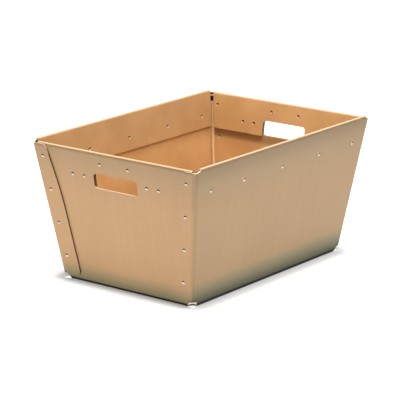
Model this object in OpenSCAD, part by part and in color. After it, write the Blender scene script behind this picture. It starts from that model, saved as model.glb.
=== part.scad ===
// Nesting transport basket folded from one sheet of tan fibreboard.
// Four leaning walls are hemmed inwards at the rim. The side walls wrap round
// the corners in flaps that are riveted to the outside of the end walls.
// X runs along the basket, Y across it, Z up from the floor it stands on.

/* [Basket] */
// Length over the two end walls at their rim, without the flaps
rim_length = 554; // [440:1:680]
// Width over the two side walls at their rim
rim_width = 395; // [350:1:520]
// Height from the floor to the crest of the side walls
height = 277; // [250:1:340]
// Drop of the end walls' crest below the side walls' crest
end_drop = 4; // [0:0.5:6]
// Outward lean of every wall from upright, in degrees
wall_lean = 8.6; // [5:0.1:11]

/* [Board] */
// Thickness of the fibreboard
board = 2.6; // [1.8:0.1:3.2]
// Inside radius of the folds round the floor
floor_fold = 1.4; // [1:0.1:2.5]
// Inside radius of the four corner folds
corner_fold = 4.8; // [3:0.1:6]
// Inside radius of the rim folds, half the space between a wall and its hem
rim_fold = 0.9; // [0.7:0.1:1.6]
// Depth that each crease is pressed into either face of the board
crease = 0.15; // [0.1:0.01:0.25]
// Air between the two boards that lie on each other at a corner
lap_gap = 0.2; // [0.1:0.05:0.5]

/* [Hems] */
// Depth of the side walls' hems, down the slope from their crest
side_hem_depth = 74.5; // [64:0.5:95]
// Depth of the end walls' hems, down the slope from their crest
end_hem_depth = 74; // [73:0.5:95]
// Distance of a side hem's ends from the corner edges
side_hem_inset = 14; // [13:0.5:24]
// Distance of an end hem's ends from the corner edges
end_hem_inset = 11.5; // [11:0.5:17]
// Radius on the lower corners of the hems
hem_round = 4; // [2:0.5:8]

/* [Corner flaps] */
// Width of a flap from the corner edge to its free edge
flap_width = 45.5; // [42:0.5:60]
// Width of a flap at its upper edge
flap_top_width = 33.5; // [30:0.5:40]
// Distance below the side walls' crest at which a flap begins to taper
flap_taper_drop = 99; // [80:1:120]
// Radius of the bend in the free edge where the taper begins
flap_taper_round = 670; // [300:10:800]
// Drop of a flap's upper edge below the side walls' crest
flap_drop = 6.5; // [4:0.5:10]
// Height of a flap's lower edge above the floor
flap_lift = 11; // [6:0.5:14]
// Radius on the two free corners of a flap
flap_round = 11; // [4:0.5:16]

/* [Floor corners] */
// Radius of the round notch in each corner of the floor, up to the fold ends
floor_notch = 11; // [8:0.5:14]
// Level up the slope at which an end wall reaches its full width
end_foot = 8; // [4:0.5:10]

/* [Hand holes] */
// Width of a hand hole
hole_width = 104; // [85:1:125]
// Height of a hand hole, along the slope of the wall
hole_height = 30; // [24:0.5:30]
// Distance from the crest down to the hole's upper edge
hole_drop = 42; // [36:0.5:43]
// Radius on the corners of a hand hole
hole_round = 6; // [3:0.5:11]

/* [Rivets] */
// Diameter of a rivet's shank
shank_d = 3.6; // [3.2:0.1:3.7]
// Room between a shank and its hole, on each side
shank_gap = 0.1; // [0.05:0.01:0.2]
// Diameter over the lips of the cups at both ends
lip_d = 7.8; // [7.4:0.1:8.6]
// Height of the lips above the board
lip_h = 0.3; // [0.2:0.05:0.6]
// Width of a lip, from the mouth of its cup to its outer edge
lip_width = 0.45; // [0.4:0.05:0.6]
// Width of the ring by which a lip rests on the board
lip_seat = 0.3; // [0.25:0.05:0.35]
// Depth by which a cup is sunk into the board
sink_depth = 1.6; // [1.2:0.1:1.7]
// Diameter of the hollow in each end of the shank
hollow_d = 2.5; // [1.8:0.1:2.6]
// Thickness of the web between the two hollows of a shank
web = 1; // [0.6:0.1:1.4]
// Room between a lip and the board it is set against on the inside
seat_gap = 0.02; // [0.01:0.01:0.1]
// Drop of a side wall's rivets below its crest
side_rivet_drop = 49.5; // [40:0.5:56]
// Distance of the two inner rivets of a side wall from the one between them
side_rivet_inner = 121; // [90:1:140]
// Shift of a side wall's three middle rivets along the basket
side_rivet_shift = -6.5; // [-10:0.5:10]
// Distance of a side wall's outer pair of rivets from the corner edges
side_rivet_edge = 45.5; // [36:0.5:70]
// Drop of the rivets beside a hand hole below the end wall's crest
end_rivet_drop = 51.5; // [46:0.5:60]
// Distance of the nearer rivet beside a hand hole from the hole's edge
end_rivet_gap = 23; // [12:1:32]
// Spacing of the two rivets beside a hand hole
end_rivet_pitch = 28; // [16:1:36]
// Drop of the two rivets above a hand hole below the end wall's crest
grip_rivet_drop = 22.5; // [16:0.5:30]
// Distance of the two rivets above a hand hole from the wall's middle
grip_rivet_out = 33.5; // [20:0.5:44]
// Distance of the flap rivets from the corner edge
flap_rivet_out = 21.5; // [20:0.5:24]
// Distance from the top of the corner fold down to the first flap rivet
flap_rivet_first = 26; // [20:1:34]
// Spacing of the flap rivets down the corner
flap_rivet_pitch = 67.5; // [56:0.5:72]

/* [Colours] */
// Colour of the fibreboard
board_colour = "#cda274"; // ["#cda274", "#c39a6b"]
// Colour of the rivets
rivet_colour = "#c9c5bd"; // ["#c9c5bd", "#b5a642"]

/* [Hidden] */
$fn = 48;

// Points in a rounded corner of an outline
arc_steps = 6;
// Points across the lip of a cup
lip_steps = 4;
// Sweep by which a pressed fold reaches into the boards it joins, in degrees
fold_bite = 12;
// Length by which a fold stops short of the ends of its panels
fold_end = 0.3;
// Overlap that carries a cut clear through a face
cut = 1;
flap_rivets = 4;

// Outside radii of the folds
floor_bend = floor_fold + board;
rim_bend = rim_fold + board;
corner_bend = corner_fold + board;

// Outside of a cup where it enters the board
sink_d = lip_d - 2 * lip_seat;

// A corner edge leans by this angle within the plane of either wall
edge_lean = atan(sin(wall_lean));
// Turn from a side wall to its flap
corner_turn = acos(pow(sin(wall_lean), 2));

// Levels in a wall's own plane, measured up the slope from its floor fold:
// where the outer face would meet the floor, the rim folds and the crests
rim_crown = rim_bend - crease;
wall_foot = -floor_bend * tan(45 - wall_lean / 2);
side_rim = rim_level(height);
end_rim = rim_level(height - end_drop);
side_crest = side_rim + rim_crown;
end_crest = end_rim + rim_crown;

// Half sizes at floor level of the planes of the outer faces
side_plane = rim_width / 2 - rim_spread(height);
end_plane = rim_length / 2 - rim_spread(height - end_drop);
flap_plane = end_plane + (board + lap_gap) / cos(wall_lean);

// Half sizes of the flat floor panel, up to the start of its folds
floor_half_y = side_plane + wall_foot;
floor_half_x = end_plane + wall_foot;

// Straight ends of the folds round the floor
side_fold_half = floor_half_x - floor_notch;
end_fold_half = floor_half_y - floor_notch;

// Corner fold: setback of its start from the corner edge, that start at
// floor level in the side wall's plane, and the fold's two ends
setback = corner_bend * tan(corner_turn / 2);
seam = [flap_plane - setback * cos(edge_lean), wall_foot + setback * sin(edge_lean)];
seam_low = along_seam(flap_lift);
seam_high = along_seam(height - flap_drop);

// Distance of an end wall's upright edges from the corner edges, clear of the folds
edge_inset = (board + corner_fold + lap_gap) / cos(edge_lean);

// Thickness of the layers under each kind of rivet
rim_grip = 2 * board + 2 * rim_fold;
corner_grip = 2 * board + lap_gap;
top_corner_grip = corner_grip + 2 * rim_fold + board;

// Level of a rim fold, and spread of its wall up to there, for a crest at height z
function rim_level(z) =
    (z - floor_bend - rim_crown + (floor_fold - rim_fold) * sin(wall_lean)) / cos(wall_lean);
function rim_spread(z) = (z - rim_crown - rim_bend * sin(wall_lean)) * tan(wall_lean);

// Distance along the start of a corner fold to height z, and the point at distance s
function along_seam(z) = (z / cos(wall_lean) - setback * sin(edge_lean)) / cos(edge_lean);
function on_seam(s) = seam + s * [sin(edge_lean), cos(edge_lean)];

// Half width, at a level of its own plane, to the corner edge of a side wall or an end wall
function side_half(y) = flap_plane + (y - wall_foot) * tan(edge_lean);
function end_half(y) = side_plane + (y - wall_foot) * tan(edge_lean);

function unit(v) = v / norm(v);
function short_turn(a) = a > 180 ? a - 360 : a < -180 ? a + 360 : a;
function heading(v) = atan2(v.y, v.x);

// Arc of radius r that rounds the corner b between its neighbours a and c
function corner_arc(a, b, c, r) =
    let (
        u = unit(a - b),
        v = unit(c - b),
        half = acos(u * v) / 2,
        mid = b + unit(u + v) * r / sin(half),
        start = heading(b + u * r / tan(half) - mid),
        turn = short_turn(heading(b + v * r / tan(half) - mid) - start)
    )
    [for (i = [0:arc_steps]) mid + r * [cos(start + turn * i / arc_steps), sin(start + turn * i / arc_steps)]];

// Closed outline from rows of x, y and corner radius
function outline(rows) =
    let (n = len(rows), p = [for (row = rows) [row.x, row.y]])
    [for (i = [0:n - 1])
        each rows[i][2] == 0 ? [p[i]] : corner_arc(p[(i + n - 1) % n], p[i], p[(i + 1) % n], rows[i][2])];

// Rows of a right half, mirrored to make the whole outline
function both_halves(rows) =
    concat(rows, [for (i = [len(rows) - 1:-1:0]) [-rows[i].x, rows[i].y, rows[i][2]]]);

// Frames: the side walls, the end walls, the corner folds and the flaps.
// In each, Z is the outward normal of the board
module on_side_walls() {
    for (flip = [0, 1])
        mirror([0, flip, 0])
            translate([0, -floor_half_y, floor_bend])
                rotate([90 + wall_lean, 0, 0])
                    children();
}

module on_end_walls() {
    for (turn = [90, 270])
        rotate(turn)
            translate([0, -floor_half_x, floor_bend])
                rotate([90 + wall_lean, 0, 0])
                    children();
}

module on_corner_folds() {
    on_side_walls()
        for (flip = [0, 1])
            mirror([flip, 0, 0])
                translate([seam.x, seam.y, floor_fold - corner_fold])
                    rotate(-edge_lean)
                        children();
}

module on_flaps() {
    on_corner_folds()
        rotate([0, corner_turn, 0])
            translate([0, 0, corner_fold])
                children();
}

// Pressed fold about the X axis: it leaves a board at +Z and turns towards +Y
module fold(radius, turn, from, to) {
    rotate([0, 90, 0])
        rotate(180 - turn - fold_bite)
            rotate_extrude(angle = turn + 2 * fold_bite)
                translate([radius + crease, from + fold_end])
                    square([board - 2 * crease, to - from - 2 * fold_end]);
}

module floor_fold_strip(half) {
    mirror([0, 1, 0])
        fold(floor_fold, 90 - wall_lean, -half, half);
}

module rim_fold_strip(level, half) {
    translate([0, level, floor_fold - rim_fold])
        fold(rim_fold, 180, -half, half);
}

module corner_fold_strip() {
    rotate(-90)
        fold(corner_fold, corner_turn, -seam_high, -seam_low);
}

// Board laid with its inner face at a level of the wall's frame
module panel(level) {
    translate([0, 0, level])
        linear_extrude(board)
            children();
}

// Half width of a hem at its foot, with its ends along the corner edges
function hem_end(top_half, depth) = top_half - (depth - rim_crown) * tan(edge_lean);

module floor_panel() {
    linear_extrude(board)
        difference() {
            square(2 * [floor_half_x, floor_half_y], center = true);
            for (x = [-1, 1], y = [-1, 1])
                translate([x * floor_half_x, y * floor_half_y])
                    circle(floor_notch);
        }
}

module side_wall() {
    top_half = side_half(side_rim) - side_hem_inset;
    low = on_seam(seam_low);
    high = on_seam(seam_high);
    foot = side_crest - side_hem_depth;
    panel(floor_fold)
        polygon(outline(both_halves([
            [side_fold_half, 0, 0],
            [low.x, low.y, 0],
            [high.x, high.y, 0],
            [top_half, side_rim, 0]
        ])));
    panel(floor_fold - 2 * rim_fold - board)
        polygon(outline(both_halves([
            [hem_end(top_half, side_hem_depth), foot, hem_round],
            [top_half, side_rim, 0]
        ])));
    floor_fold_strip(side_fold_half);
    rim_fold_strip(side_rim, top_half);
}

module end_wall() {
    top_half = end_half(end_rim) - end_hem_inset;
    shoulder = end_rim - flap_drop;
    hole_top = end_crest - hole_drop;
    hole_foot = hole_top - hole_height;
    foot = end_crest - end_hem_depth;
    panel(floor_fold)
        difference() {
            polygon(outline(both_halves([
                [end_fold_half, 0, 0],
                [end_half(end_foot) - edge_inset, end_foot, 0],
                [end_half(shoulder) - edge_inset, shoulder, 0],
                [top_half, end_rim, 0]
            ])));
            polygon(outline(both_halves([
                [hole_width / 2, hole_foot, hole_round],
                [hole_width / 2, hole_top, hole_round]
            ])));
        }
    panel(floor_fold - 2 * rim_fold - board)
        polygon(outline(both_halves([
            [hole_width / 2, hole_top, hole_round],
            [hole_width / 2, foot, hem_round],
            [hem_end(top_half, end_hem_depth), foot, hem_round],
            [top_half, end_rim, 0]
        ])));
    floor_fold_strip(end_fold_half);
    rim_fold_strip(end_rim, top_half);
}

// Flap with level upper and lower edges, drawn from the end of the corner fold
module flap() {
    reach = flap_width - setback;
    top_reach = flap_top_width - setback;
    fall = tan(edge_lean);
    taper = along_seam(height - flap_taper_drop);
    linear_extrude(board)
        polygon(outline([
            [0, seam_low, 0],
            [reach, seam_low - reach * fall, flap_round],
            [reach, taper - reach * fall, flap_taper_round],
            [top_reach, seam_high - top_reach * fall, flap_round],
            [0, seam_high, 0]
        ]));
}

// Rivet places, each with its origin on the outer face of the outer layer
module at_rim_rivets() {
    side_y = side_crest - side_rivet_drop;
    side_outer = side_half(side_y) - side_rivet_edge;
    end_inner = hole_width / 2 + end_rivet_gap;
    on_side_walls() {
        for (x = [-side_outer, side_outer])
            translate([x, side_y, floor_bend])
                children();
        for (i = [-1:1])
            translate([side_rivet_shift + i * side_rivet_inner, side_y, floor_bend])
                children();
    }
    on_end_walls()
        for (side = [-1, 1]) {
            for (x = [end_inner, end_inner + end_rivet_pitch])
                translate([side * x, end_crest - end_rivet_drop, floor_bend])
                    children();
            translate([side * grip_rivet_out, end_crest - grip_rivet_drop, floor_bend])
                children();
        }
}

module at_flap_rivets(first, last) {
    on_flaps()
        for (i = [first:last])
            translate([flap_rivet_out - setback, seam_high - flap_rivet_first - i * flap_rivet_pitch, board])
                children();
}

// Hole through the layers under a rivet, countersunk at both ends
module rivet_hole(grip) {
    width = shank_d + 2 * shank_gap;
    flare = (sink_d - shank_d) / sink_depth;
    sink = sink_depth + cut;
    translate([0, 0, -grip - cut])
        cylinder(d = width, h = grip + 2 * cut);
    for (end = [0, 1])
        translate([0, 0, -end * grip])
            mirror([0, 0, end])
                translate([0, 0, -sink_depth])
                    cylinder(d1 = width, d2 = width + flare * sink, h = sink);
}

// Cup at the end of a rivet, from its hollow over the lip to the start of the shank
function cup() =
    let (half = lip_width / 2)
    concat(
        [[hollow_d / 2, -sink_depth]],
        [for (i = [0:lip_steps])
            let (a = 180 - 180 * i / lip_steps)
            [lip_d / 2 - half + half * cos(a), lip_h * sin(a)]],
        [[sink_d / 2, 0], [shank_d / 2, -sink_depth]]
    );

// Tubular rivet with a flared cup set into the board at both ends
module rivet(grip) {
    outer = cup();
    seat = -grip - seat_gap;
    inner = [for (i = [len(outer) - 1:-1:0]) [outer[i].x, seat - outer[i].y]];
    hollow_end = (seat + web) / 2;
    rotate_extrude()
        polygon(concat(
            [[0, hollow_end], [hollow_d / 2, hollow_end]],
            outer,
            inner,
            [[hollow_d / 2, hollow_end - web], [0, hollow_end - web]]
        ));
}

module basket_body() {
    color(board_colour)
        difference() {
            union() {
                floor_panel();
                on_side_walls() side_wall();
                on_end_walls() end_wall();
                on_corner_folds() corner_fold_strip();
                on_flaps() flap();
            }
            at_rim_rivets() rivet_hole(rim_grip);
            at_flap_rivets(0, 0) rivet_hole(top_corner_grip);
            at_flap_rivets(1, flap_rivets - 1) rivet_hole(corner_grip);
        }
}

module rim_rivets() {
    color(rivet_colour) at_rim_rivets() rivet(rim_grip);
}

module corner_rivets() {
    color(rivet_colour) at_flap_rivets(1, flap_rivets - 1) rivet(corner_grip);
}

module top_corner_rivets() {
    color(rivet_colour) at_flap_rivets(0, 0) rivet(top_corner_grip);
}

basket_body();
rim_rivets();
corner_rivets();
top_corner_rivets();
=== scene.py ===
"""Looks of the fibreboard transport basket, in metres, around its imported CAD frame."""

import math
from types import SimpleNamespace

import bpy
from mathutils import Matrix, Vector


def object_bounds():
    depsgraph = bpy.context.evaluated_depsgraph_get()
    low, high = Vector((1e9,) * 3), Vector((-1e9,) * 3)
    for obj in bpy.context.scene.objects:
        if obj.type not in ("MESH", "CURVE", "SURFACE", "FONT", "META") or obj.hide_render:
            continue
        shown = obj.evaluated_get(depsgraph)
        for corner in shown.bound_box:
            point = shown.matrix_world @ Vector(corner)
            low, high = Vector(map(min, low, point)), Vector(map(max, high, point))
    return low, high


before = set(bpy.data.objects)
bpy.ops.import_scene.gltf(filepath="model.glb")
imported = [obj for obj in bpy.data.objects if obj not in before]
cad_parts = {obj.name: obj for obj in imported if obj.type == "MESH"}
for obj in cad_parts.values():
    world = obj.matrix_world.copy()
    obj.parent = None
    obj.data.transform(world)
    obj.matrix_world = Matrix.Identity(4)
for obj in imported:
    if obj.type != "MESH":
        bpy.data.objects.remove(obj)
cad_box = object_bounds()

# Camera, as fitted to the photograph
CAMERA_AZIMUTH = math.radians(-52.21)
CAMERA_ELEVATION = math.radians(15.34)
CAMERA_DISTANCE = 4.182
CAMERA_LENS = 192.7
CAMERA_TARGET = Vector((-0.00565, 0.00668, 0.12905))

# Studio: the world's light, and the floor with its glow for direct view, lower near the basket as painted
# shade
WORLD_LIGHT = 0.32
WORLD_SEEN = 1.0
FLOOR_SIZE = 30.0
FLOOR_GREY = 0.5
SHADE_BAND = (0.003, 0.045)
SHADE_GLOW = (0.2, 0.76)
FAR_BAND = (0.3, 1.2)
FAR_GLOW = (0.0, 0.3)
END_SHADE_BAND = (0.0, 0.025)
END_SHADE_GLOW = (0.04, 0.24)
CORNER_BAND = (-0.02, 0.004)
CORNER_GLOW = 0.14
MOST_GLOW = 0.92

# Board, its lean as a wall, the heights at which side walls and flaps are widest, and how far
# the end walls' crests lie below the side walls'
WALL_LEAN = math.radians(8.6)
BOARD = 0.0026
FLAP_GAP = 0.0002
SIDE_WIDEST = 0.27314
FLAP_WIDEST = 0.2702
END_CREST_DROP = 0.004
# Planes of the outer faces at floor level, from which the materials know walls and edges
HALF_LENGTH, HALF_WIDTH, HEIGHT = cad_box[1]
SIDE_PLANE = HALF_WIDTH - SIDE_WIDEST * math.tan(WALL_LEAN)
FLAP_PLANE = HALF_LENGTH - FLAP_WIDEST * math.tan(WALL_LEAN)
END_PLANE = FLAP_PLANE - (BOARD + FLAP_GAP) / math.cos(WALL_LEAN)
# Crests of the walls, and the top of the folds round the floor
SIDE_CREST = HEIGHT
END_CREST = HEIGHT - END_CREST_DROP
FOLD_TOP = 0.0075
# Depth from an outer face past its hem, and to the space between wall and hem
LAYERS = 0.0085
BOARD_AND_GAP = 0.0045

# A pair is where a mask starts and where it ends. These are shares of a face's direction
FACES_OUT = (0.3, 0.6)
FACES_ALONG_Z = (0.3, 0.5)
FACES_UP = (0.85, 0.95)
CUT_EDGE = (0.25, 0.6)
TURNS_AWAY = (0.94, 0.995)
# Distances below a crest
CREST_BAND = (0.0004, 0.0026)
BROAD_RIM_SHADE_BAND = (0.0, 0.11)
RIM_SHADE_BAND = (0.005, 0.045)
CREST_SHADOW_BAND = (0.0035, 0.0085)
FLAP_SHADE_TOP = (0.0016, 0.0024)
FLAP_SHADE_FOOT = (0.0065, 0.0075)
# Heights above the floor
BASE_SHADOW_FADE = 0.004
SILL_TOP = (0.0035, 0.004)
TIP_TOP = (0.0095, 0.0105)
NOTCH_TOP = (0.0135, 0.0145)
EDGE_FOOT = (FOLD_TOP, FOLD_TOP + 0.001)
DEEP_INSIDE_SHADE_TOP = (0.08, 0.165)
HEM_SHADOW_FOOT = (0.1795, 0.1875)
HEM_SHADOW_TOP = (0.199, 0.2)
SIDE_HEM_FOOT = (0.19, 0.2)
FLAP_EDGE_FOOT = (0.25, 0.255)
CORNER_FOLD_TOP = (0.2505, 0.252)
POCKET_FOOT = (0.252, 0.254)
GLINT_FOOT = (0.2625, 0.2635)
GLINT_TOP = (0.266, 0.267)
# Depths behind the flap's and the side wall's outer faces
CORNER_DEPTH_X = (0.012, 0.014)
CORNER_DEPTH_Y = (0.008, 0.0095)
FLAP_DEPTH = (0.0024, 0.0028)
BEHIND_FLAP_DEPTH = (0.0018, 0.0024)
FLAP_WIDTH = (0.03, 0.034)
# Half the width of the painted highlight line in a corner fold, and where the pale grey floor corners
# start in X plus Y
FOLD_HIGHLIGHT_HALF = (0.0020, 0.0034)
SILL_START = (0.346, 0.364)
# Painted shade on the side walls and on the end walls: below the crests, at the feet and along the base
RIM_SHADE_SHARE = (0.36, 0.14)
FOOT_SHADE_TOP = (0.054, 0.044)
FOOT_SHADE_SHARE = (0.94, 0.6)
BASE_SHADOW_TOP = (0.0095, 0.0075)

# Colours of the bare board, and of its inside
BOARD_SHADES = ((0.566, 0.310, 0.123), (0.596, 0.330, 0.135))
STREAK_COLOUR = (0.67, 0.39, 0.18)
FIBRE_COLOUR = (0.46, 0.25, 0.10)
# Painted light: a greyer, greener tint on the outside of the side walls, for the other light they get
SIDE_LIGHT_TINT = (0.20, 0.335, 0.125)
INSIDE_SHADES = ((0.605, 0.332, 0.125), (0.70, 0.410, 0.170))
# Colours laid over the board in this order: mask, weight and colour
BOARD_LAYERS = (
    # Painted shade: the lower inside of the side walls is darker
    ("deep_inside_shade", 0.5, (0.36, 0.17, 0.055)),
    # Painted shade: the hems inside the side walls are darker
    ("side_hem_shade", 0.3, (0.30, 0.16, 0.07)),
    # Painted shadow: a dark band under the end hems
    ("hem_shadow", 0.5, (0.10, 0.055, 0.025)),
    # Painted shade below the crests: a broad band, a darker band and a thin dark line
    ("lip", 0.38, (0.30, 0.21, 0.10)),
    ("rim_shade", 1.0, (0.20, 0.14, 0.055)),
    ("crest_shadow_line", 0.5, (0.16, 0.09, 0.02)),
    # Painted shade at the feet of the outer walls, greener where it fades
    ("foot", 0.94, (0.024, 0.044, 0.027)),
    ("foot_shade_green", 0.9, (0.21, 0.36, 0.18)),
    # Painted shadow: a black line along the base of the outer walls
    ("base_shadow", 1.0, (0.012, 0.011, 0.008)),
    # Painted shade on the rounded outer corner folds
    ("outer_fold_shade", 0.2, (0.28, 0.20, 0.12)),
    # Painted shade beside a painted highlight line in the inner corner folds
    ("fold_side_shade", 0.35, (0.28, 0.14, 0.05)),
    ("fold_highlight", 0.9, (0.95, 0.68, 0.40)),
    # Painted shadow on the end walls' outside, just above the flaps
    ("flap_gap_shadow", 1.0, (0.06, 0.04, 0.022)),
    ("crest", 0.9, (0.62, 0.43, 0.25)),
    ("edge", 1.0, (0.78, 0.57, 0.37)),
    # Painted shade: near-black upright cut edges of the end walls
    ("upright_edge_shade", 1.0, (0.06, 0.038, 0.02)),
    ("flap_edge", 1.0, (0.40, 0.32, 0.24)),
    # Painted shade: a dark pocket at the top of each inner corner, and dark corner openings near the
    # floor
    ("pocket_shade", 1.0, (0.02, 0.013, 0.008)),
    ("notch", 1.0, (0.08, 0.06, 0.035)),
    ("tip", 1.0, (0.82, 0.72, 0.55)),
    ("sill", 0.85, (0.56, 0.62, 0.60)),
)

# Share by which each mask dulls the board's gloss
DULL_MASKS = (
    ("base_shadow", 1.0), ("foot", 0.55), ("inside", 0.5), ("pocket_shade", 1.0),
    ("fold_highlight", 1.0), ("rim_shade", 1.0), ("crest_shadow_line", 0.5),
)

# Depth where a rivet's inner end begins, and how close a surface must be to make a hollow
INNER_END_DEPTH = (0.0012, 0.0018)
HOLLOW_SIZE = 0.006
# Colours of the rivets, the tan of their inner ends as a painted reflection, and the painted shade of
# their outer and inner ends
METAL_SHADES = ((0.90, 0.77, 0.58), (0.98, 0.85, 0.66))
INNER_END_REFLECTION = (0.60, 0.36, 0.17)
LIP_TAN = (0.50, 0.36, 0.22)
RIVET_SHADE_COLOURS = ((0.022, 0.014, 0.008), (0.15, 0.075, 0.032))

scene = bpy.context.scene
scene.view_settings.view_transform = "Standard"


class Nodes:
    """Short hand for adding and joining the nodes of one material or world."""

    def __init__(self, owner):
        owner.use_nodes = True
        self.tree = owner.node_tree
        self.tree.nodes.clear()

    def add(self, kind, inputs=None, **settings):
        node = self.tree.nodes.new(kind)
        for name, value in settings.items():
            setattr(node, name, value)
        for name, value in (inputs or {}).items():
            self.feed(node.inputs[name], value)
        return node

    def feed(self, socket, value):
        if isinstance(value, bpy.types.NodeSocket):
            self.tree.links.new(value, socket)
        else:
            socket.default_value = value

    def math(self, operation, *values):
        return self.add("ShaderNodeMath", dict(enumerate(values)), operation=operation).outputs[0]

    def plus(self, first, second):
        return self.math("ADD", first, second)

    def minus(self, first, second):
        return self.math("SUBTRACT", first, second)

    def times(self, first, *others):
        for other in others:
            first = self.math("MULTIPLY", first, other)
        return first

    def most(self, first, *others):
        for other in others:
            first = self.math("MAXIMUM", first, other)
        return first

    def least(self, first, second):
        return self.math("MINIMUM", first, second)

    def absolute(self, value):
        return self.math("ABSOLUTE", value)

    def without(self, mask, other):
        return self.times(mask, self.minus(1.0, other))

    def ramp(self, value, low, high, start=0.0, end=1.0):
        """Smooth step of a value, from start at low to end at high."""
        sockets = {"Value": value, "From Min": low, "From Max": high, "To Min": start, "To Max": end}
        node = self.add("ShaderNodeMapRange", sockets, interpolation_type="SMOOTHSTEP")
        return node.outputs["Result"]

    def fade(self, value, low, high):
        """One up to low, zero from high on."""
        return self.ramp(value, low, high, 1.0, 0.0)

    def noise(self, vector, scale, detail):
        place = self.add("ShaderNodeMapping", {"Vector": vector, "Scale": scale}).outputs[0]
        node = self.add("ShaderNodeTexNoise", {"Vector": place, "Scale": 1.0, "Detail": detail})
        return node.outputs["Fac"]

    def mix(self, factor, first, second):
        node = self.add("ShaderNodeMix", {"Factor": factor}, data_type="RGBA")
        for socket, value in ((node.inputs[6], first), (node.inputs[7], second)):
            self.feed(socket, value if isinstance(value, bpy.types.NodeSocket) else (*value, 1))
        return node.outputs[2]

    def place(self):
        return self.add("ShaderNodeTexCoord").outputs["Object"]

    def normal(self):
        return self.add("ShaderNodeNewGeometry").outputs["Normal"]

    def split(self, vector):
        return self.add("ShaderNodeSeparateXYZ", {0: vector}).outputs


def make_camera():
    back = Vector((
        math.sin(CAMERA_AZIMUTH) * math.cos(CAMERA_ELEVATION),
        -math.cos(CAMERA_AZIMUTH) * math.cos(CAMERA_ELEVATION),
        math.sin(CAMERA_ELEVATION),
    ))
    data = bpy.data.cameras.new("camera")
    data.lens = CAMERA_LENS
    data.clip_end = 100.0
    camera = bpy.data.objects.new("camera", data)
    camera.location = CAMERA_TARGET + back * CAMERA_DISTANCE
    camera.rotation_euler = (-back).to_track_quat("-Z", "Y").to_euler()
    scene.collection.objects.link(camera)
    scene.camera = camera


def make_area_light(name, place, aim, size, power, glossy=True):
    data = bpy.data.lights.new(name, "AREA")
    data.shape = "RECTANGLE"
    data.size, data.size_y = size
    data.energy = power
    lamp = bpy.data.objects.new(name, data)
    lamp.location = place
    lamp.rotation_euler = (Vector(aim) - Vector(place)).to_track_quat("-Z", "Y").to_euler()
    lamp.visible_glossy = glossy
    scene.collection.objects.link(lamp)


def seen_directly(nodes):
    """One for rays that show the background: from the camera, a mirror or through glass."""
    path = nodes.add("ShaderNodeLightPath").outputs
    return nodes.most(path["Is Camera Ray"], path["Is Glossy Ray"], path["Is Transmission Ray"])


def make_floor():
    """White floor that grows dimmer towards the basket as painted shade, and keeps the lamps' shadow."""
    material = bpy.data.materials.new("floor")
    nodes = Nodes(material)
    at = nodes.split(nodes.place())
    past_x = nodes.minus(nodes.absolute(at["X"]), END_PLANE)
    past_y = nodes.minus(nodes.absolute(at["Y"]), SIDE_PLANE)
    beyond_x, beyond_y = nodes.most(past_x, 0.0), nodes.most(past_y, 0.0)
    square_x, square_y = nodes.times(beyond_x, beyond_x), nodes.times(beyond_y, beyond_y)
    away = nodes.math("SQRT", nodes.plus(square_x, square_y))
    # Painted shade: the glow is lower near the footprint, and a little higher past the ends and at the
    # corners
    corner = nodes.ramp(nodes.least(past_x, past_y), *CORNER_BAND)
    level = nodes.ramp(away, *SHADE_BAND, *SHADE_GLOW)
    level = nodes.plus(level, nodes.ramp(away, *FAR_BAND, *FAR_GLOW))
    level = nodes.plus(level, nodes.ramp(beyond_x, *END_SHADE_BAND, *END_SHADE_GLOW))
    level = nodes.plus(level, nodes.times(corner, CORNER_GLOW))
    glow = nodes.times(seen_directly(nodes), nodes.least(level, MOST_GLOW))
    diffuse = nodes.add("ShaderNodeBsdfDiffuse", {"Color": (FLOOR_GREY, FLOOR_GREY, FLOOR_GREY, 1)})
    emission = nodes.add("ShaderNodeEmission", {"Color": (1, 1, 1, 1), "Strength": glow})
    both = nodes.add("ShaderNodeAddShader", {0: diffuse.outputs[0], 1: emission.outputs[0]})
    nodes.add("ShaderNodeOutputMaterial", {"Surface": both.outputs[0]})
    half = FLOOR_SIZE / 2
    corners = [(-half, -half, 0), (half, -half, 0), (half, half, 0), (-half, half, 0)]
    mesh = bpy.data.meshes.new("floor")
    mesh.from_pydata(corners, [], [(0, 1, 2, 3)])
    floor = bpy.data.objects.new("floor", mesh)
    floor.data.materials.append(material)
    scene.collection.objects.link(floor)


def make_world():
    world = bpy.data.worlds.new("studio")
    scene.world = world
    nodes = Nodes(world)
    level = nodes.ramp(seen_directly(nodes), 0.0, 1.0, WORLD_LIGHT, WORLD_SEEN)
    background = nodes.add("ShaderNodeBackground", {"Color": (1, 1, 1, 1), "Strength": level})
    nodes.add("ShaderNodeOutputWorld", {"Surface": background.outputs[0]})


def reach(nodes, at, axis):
    """How far out along an axis a point lies, as if its wall stood upright."""
    return nodes.minus(nodes.absolute(at[axis]), nodes.times(at["Z"], math.tan(WALL_LEAN)))


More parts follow.
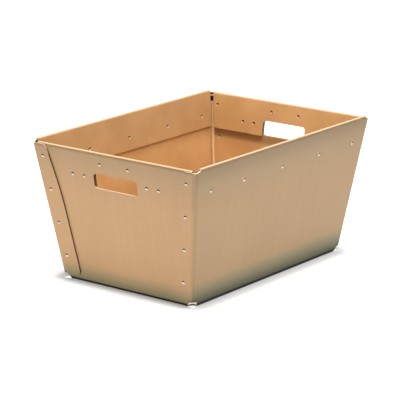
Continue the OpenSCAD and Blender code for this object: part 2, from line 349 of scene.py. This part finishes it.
def find_walls(nodes):
    """Where a point lies on the folded board, and which way it faces there."""
    place = nodes.place()
    at = nodes.split(place)
    facing = nodes.split(nodes.normal())
    down = nodes.times(facing["Z"], math.sin(WALL_LEAN))

    def outward(axis):
        return nodes.times(facing[axis], nodes.math("SIGN", at[axis]))

    def faces(axis):
        """One on the faces of the two walls across an axis, zero on their cut edges."""
        return nodes.absolute(nodes.minus(nodes.times(outward(axis), math.cos(WALL_LEAN)), down))

    wall = SimpleNamespace(place=place, at=at, z=at["Z"], facing_z=facing["Z"])
    wall.out_x, wall.out_y = reach(nodes, at, "X"), reach(nodes, at, "Y")
    wall.in_x, wall.in_y = nodes.minus(FLAP_PLANE, wall.out_x), nodes.minus(SIDE_PLANE, wall.out_y)
    wall.on_side = nodes.math("GREATER_THAN", wall.out_y, SIDE_PLANE - LAYERS)
    wall.on_end = nodes.math("GREATER_THAN", wall.out_x, END_PLANE - LAYERS)
    wall.end_only = nodes.without(wall.on_end, wall.on_side)
    wall.side_face, wall.end_face = faces("Y"), faces("X")
    wall.turned = nodes.math("GREATER_THAN", wall.end_face, wall.side_face)
    wall.outside = nodes.ramp(nodes.plus(outward("X"), outward("Y")), *FACES_OUT)
    wall.inside = nodes.minus(1.0, wall.outside)
    wall.level = nodes.ramp(nodes.absolute(facing["Z"]), *FACES_ALONG_Z)
    wall.below = nodes.minus(nodes.ramp(wall.end_only, 0.0, 1.0, SIDE_CREST, END_CREST), wall.z)
    wall.crest = nodes.times(nodes.most(wall.on_side, wall.on_end), nodes.fade(wall.below, *CREST_BAND))
    return wall


def by_wall(nodes, wall, side_and_end):
    """The first value on a side wall, the second on an end wall."""
    return nodes.ramp(wall.turned, 0.0, 1.0, *side_and_end)


def rim_masks(nodes, wall):
    """Crests of the walls, and painted shade below them: a broad band, a darker band and a thin dark
    line.
    """
    def under_crest(band):
        return nodes.without(nodes.times(wall.outside, nodes.fade(wall.below, *band)), wall.crest)

    return {
        "crest": wall.crest,
        # Painted shade below the crests
        "lip": under_crest(BROAD_RIM_SHADE_BAND),
        "rim_shade": nodes.times(under_crest(RIM_SHADE_BAND), by_wall(nodes, wall, RIM_SHADE_SHARE)),
        "crest_shadow_line": under_crest(CREST_SHADOW_BAND),
    }


def edge_masks(nodes, wall):
    """Cut edges of the board, with painted shade on the upright cut edges of the end walls."""
    def edge_of(face):
        return nodes.fade(face, *CUT_EDGE)

    in_end_board = nodes.math("GREATER_THAN", wall.out_x, END_PLANE - BOARD_AND_GAP)
    either = nodes.most(wall.side_face, nodes.times(wall.end_face, in_end_board))
    side_edge = nodes.times(wall.on_side, edge_of(either))
    end_edge = nodes.times(wall.end_only, edge_of(wall.end_face))
    edge = nodes.times(nodes.plus(side_edge, end_edge), nodes.ramp(wall.z, *EDGE_FOOT))
    edge = nodes.without(edge, wall.crest)
    in_flap = nodes.times(nodes.fade(wall.in_x, *FLAP_DEPTH), nodes.ramp(wall.z, *FLAP_EDGE_FOOT))
    return {
        "edge": edge,
        # Painted shade on the upright cut edges of the end walls
        "upright_edge_shade": nodes.without(nodes.times(edge, wall.end_only), wall.level),
        "flap_edge": nodes.without(nodes.times(edge, in_flap), wall.on_side),
    }


def corner_masks(nodes, wall):
    """Corner folds with the openings at their ends, with painted shade and a painted highlight in them,
    and a painted shadow on the board behind the flaps.
    """
    corner = nodes.times(nodes.fade(wall.in_x, *CORNER_DEPTH_X), nodes.fade(wall.in_y, *CORNER_DEPTH_Y))
    corner_inside = nodes.times(corner, wall.inside)
    turning = nodes.times(nodes.fade(wall.side_face, *TURNS_AWAY), nodes.fade(wall.end_face, *TURNS_AWAY))

    # Painted shade in the pocket at the top of an inner corner, without the glint
    pocket_shade = nodes.without(nodes.times(corner_inside, nodes.ramp(wall.z, *POCKET_FOOT)), wall.level)
    glint = nodes.times(nodes.ramp(wall.z, *GLINT_FOOT), nodes.fade(wall.z, *GLINT_TOP))
    fold = nodes.times(corner_inside, nodes.fade(wall.z, *CORNER_FOLD_TOP))
    # A painted highlight along the line of an inner corner fold, with painted shade beside it
    aside = nodes.absolute(nodes.minus(wall.in_x, wall.in_y))
    fold_highlight = nodes.times(fold, nodes.fade(aside, *FOLD_HIGHLIGHT_HALF))

    tip = nodes.times(corner, nodes.fade(wall.z, *TIP_TOP))
    # Painted shade at the corner openings near the floor, above the tip
    notch = nodes.times(corner, nodes.fade(wall.z, *NOTCH_TOP))
    x_plus_y = nodes.plus(nodes.absolute(wall.at["X"]), nodes.absolute(wall.at["Y"]))
    sill = nodes.times(nodes.ramp(x_plus_y, *SILL_START), nodes.fade(wall.z, *SILL_TOP))

    # Painted shadow on the end wall's outside, just above the flap's top edge
    flap_gap_shadow = nodes.times(
        nodes.fade(wall.in_y, *FLAP_WIDTH),
        nodes.ramp(wall.in_x, *BEHIND_FLAP_DEPTH),
        wall.outside,
        nodes.ramp(wall.below, *FLAP_SHADE_TOP),
        nodes.fade(wall.below, *FLAP_SHADE_FOOT),
    )
    return {
        # Painted shade on the rounding of the outer corner folds
        "outer_fold_shade": nodes.times(corner, wall.outside, turning),
        "pocket_shade": nodes.without(pocket_shade, glint),
        "fold_highlight": fold_highlight,
        "fold_side_shade": nodes.without(fold, fold_highlight),
        "tip": tip,
        "notch": nodes.without(notch, tip),
        "sill": nodes.times(sill, nodes.ramp(wall.facing_z, *FACES_UP)),
        "flap_gap_shadow": nodes.without(flap_gap_shadow, wall.on_side),
    }


def wall_masks(nodes, wall, tip):
    """Bands along the walls: both sides of the board and hems, with painted shade deep inside, on the
    side hems, under the end hems, at the feet and in a black line along the base.
    """
    in_hem = nodes.math("LESS_THAN", wall.out_y, SIDE_PLANE - BOARD_AND_GAP)
    # Painted shadow under the end hems, on their inside
    hem_shadow = nodes.times(nodes.ramp(wall.z, *HEM_SHADOW_FOOT), nodes.fade(wall.z, *HEM_SHADOW_TOP))
    # Painted shade low on the inside of the side walls
    deep_inside_shade = nodes.times(wall.inside, nodes.fade(wall.z, *DEEP_INSIDE_SHADE_TOP))
    # Painted shade at the feet, taller and stronger on the side walls
    foot = nodes.times(wall.outside, nodes.fade(wall.z, 0.0, by_wall(nodes, wall, FOOT_SHADE_TOP)))
    foot = nodes.times(nodes.without(foot, tip), by_wall(nodes, wall, FOOT_SHADE_SHARE))
    # Painted shadow: a black line along the base
    base_shadow = nodes.times(wall.outside, nodes.fade(wall.z, BASE_SHADOW_FADE, by_wall(nodes, wall, BASE_SHADOW_TOP)))
    return {
        "inside": wall.inside,
        "deep_inside_shade": nodes.without(deep_inside_shade, wall.turned),
        "side_out": nodes.without(wall.outside, wall.turned),
        # Painted shade on the hems inside the side walls
        "side_hem_shade": nodes.times(wall.on_side, in_hem, nodes.ramp(wall.z, *SIDE_HEM_FOOT)),
        "hem_shadow": nodes.times(hem_shadow, wall.inside, wall.end_only),
        "foot": foot,
        # Painted shade: greener where the feet's shade fades
        "foot_shade_green": nodes.without(foot, foot),
        "base_shadow": nodes.without(base_shadow, tip),
    }


def fibreboard():
    material = bpy.data.materials.new("fibreboard")
    nodes = Nodes(material)
    wall = find_walls(nodes)
    mask = {**rim_masks(nodes, wall), **edge_masks(nodes, wall), **corner_masks(nodes, wall)}
    mask.update(wall_masks(nodes, wall, mask["tip"]))

    # Grain runs up each wall, so it is drawn on the sheet as if laid out flat
    along = {"Factor": wall.turned, 2: wall.at["X"], 3: wall.at["Y"]}
    run = nodes.add("ShaderNodeMix", along, data_type="FLOAT").outputs[0]
    sheet = nodes.add("ShaderNodeCombineXYZ", {"X": run, "Y": wall.turned, "Z": wall.z}).outputs[0]
    streaks = nodes.noise(sheet, (170.0, 3.0, 2.5), 2.0)
    fibres = nodes.noise(sheet, (900.0, 3.0, 45.0), 3.0)
    clouds = nodes.noise(wall.place, (11.0, 11.0, 8.0), 3.0)
    blotches = nodes.noise(wall.place, (16.0, 16.0, 16.0), 2.0)

    colour = nodes.mix(nodes.ramp(clouds, 0.3, 0.7), *BOARD_SHADES)
    colour = nodes.mix(nodes.ramp(streaks, 0.35, 0.75, 0.0, 0.2), colour, STREAK_COLOUR)
    colour = nodes.mix(nodes.ramp(fibres, 0.55, 0.85, 0.0, 0.2), colour, FIBRE_COLOUR)
    # Painted light: the outside of the side walls is tinted greyer and greener
    colour = nodes.mix(nodes.times(mask["side_out"], 0.09), colour, SIDE_LIGHT_TINT)
    tanned = nodes.mix(nodes.ramp(blotches, 0.3, 0.7), *INSIDE_SHADES)
    colour = nodes.mix(nodes.times(mask["inside"], 0.8), colour, tanned)
    for name, weight, layer in BOARD_LAYERS:
        colour = nodes.mix(nodes.times(mask[name], weight), colour, layer)

    soiled = nodes.most(*(nodes.times(mask[name], share) for name, share in DULL_MASKS))
    bump = nodes.add("ShaderNodeBump", {"Height": fibres, "Strength": 0.06, "Distance": 0.0004})
    shader = nodes.add("ShaderNodeBsdfPrincipled", {
        "Base Color": colour,
        "Roughness": nodes.ramp(fibres, 0.2, 0.8, 0.44, 0.56),
        "IOR": 1.62,
        "Specular IOR Level": nodes.ramp(soiled, 0.0, 1.0, 0.76, 0.1),
        "Normal": bump.outputs[0],
    })
    nodes.add("ShaderNodeOutputMaterial", {"Surface": shader.outputs[0]})
    return material


def rivet_metal():
    material = bpy.data.materials.new("rivet_metal")
    nodes = Nodes(material)
    place = nodes.place()
    at = nodes.split(place)
    facing = nodes.split(nodes.normal())
    cloud = nodes.noise(place, (400.0, 400.0, 400.0), 3.0)
    occlusion = nodes.add("ShaderNodeAmbientOcclusion", {"Distance": HOLLOW_SIZE}, samples=16)
    open_air = occlusion.outputs["AO"]
    depth_x = nodes.minus(END_PLANE, reach(nodes, at, "X"))
    depth_y = nodes.minus(SIDE_PLANE, reach(nodes, at, "Y"))
    inner_end = nodes.ramp(nodes.least(depth_x, depth_y), *INNER_END_DEPTH)

    colour = nodes.mix(nodes.ramp(cloud, 0.3, 0.7), *METAL_SHADES)
    # Painted reflection: the inner ends are tan, for the tan board they face
    colour = nodes.mix(nodes.times(inner_end, 0.9), colour, INNER_END_REFLECTION)
    colour = nodes.mix(nodes.ramp(open_air, 0.85, 0.97, 0.0, 0.3), colour, LIP_TAN)
    # Painted shade in the hollows and on what faces down
    rivet_shade = nodes.most(nodes.fade(open_air, 0.38, 0.66), nodes.fade(facing["Z"], -0.28, 0.18))
    colour = nodes.mix(rivet_shade, colour, nodes.mix(inner_end, *RIVET_SHADE_COLOURS))
    bare = nodes.times(nodes.fade(rivet_shade, 0.3, 0.9), nodes.ramp(inner_end, 0.0, 1.0, 1.0, 0.2))
    shader = nodes.add("ShaderNodeBsdfPrincipled", {
        "Base Color": colour,
        "Roughness": nodes.ramp(cloud, 0.2, 0.8, 0.34, 0.46),
        "Metallic": bare,
        "Specular IOR Level": 0.15,
    })
    nodes.add("ShaderNodeOutputMaterial", {"Surface": shader.outputs[0]})
    return material


def dress(node, material):
    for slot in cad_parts[node].material_slots:
        slot.material = material


make_camera()
make_floor()
make_world()
make_area_light("key_softbox", place=(-0.2, -1.0, 2.4), aim=(0, 0, 0.15), size=(1.0, 1.0), power=38)
make_area_light("top_softbox", place=(0.05, 0.05, 2.6), aim=(0.05, 0.05, 0), size=(0.8, 0.8), power=57)
make_area_light(
    "left_softbox", place=(-2.3, 0.7, 0.35), aim=(-0.1, 0, 0.15), size=(1.4, 0.5), power=17, glossy=False,
)
dress("basket_body", fibreboard())
metal = rivet_metal()
for node in ("rim_rivets", "corner_rivets", "top_corner_rivets"):
    dress(node, metal)
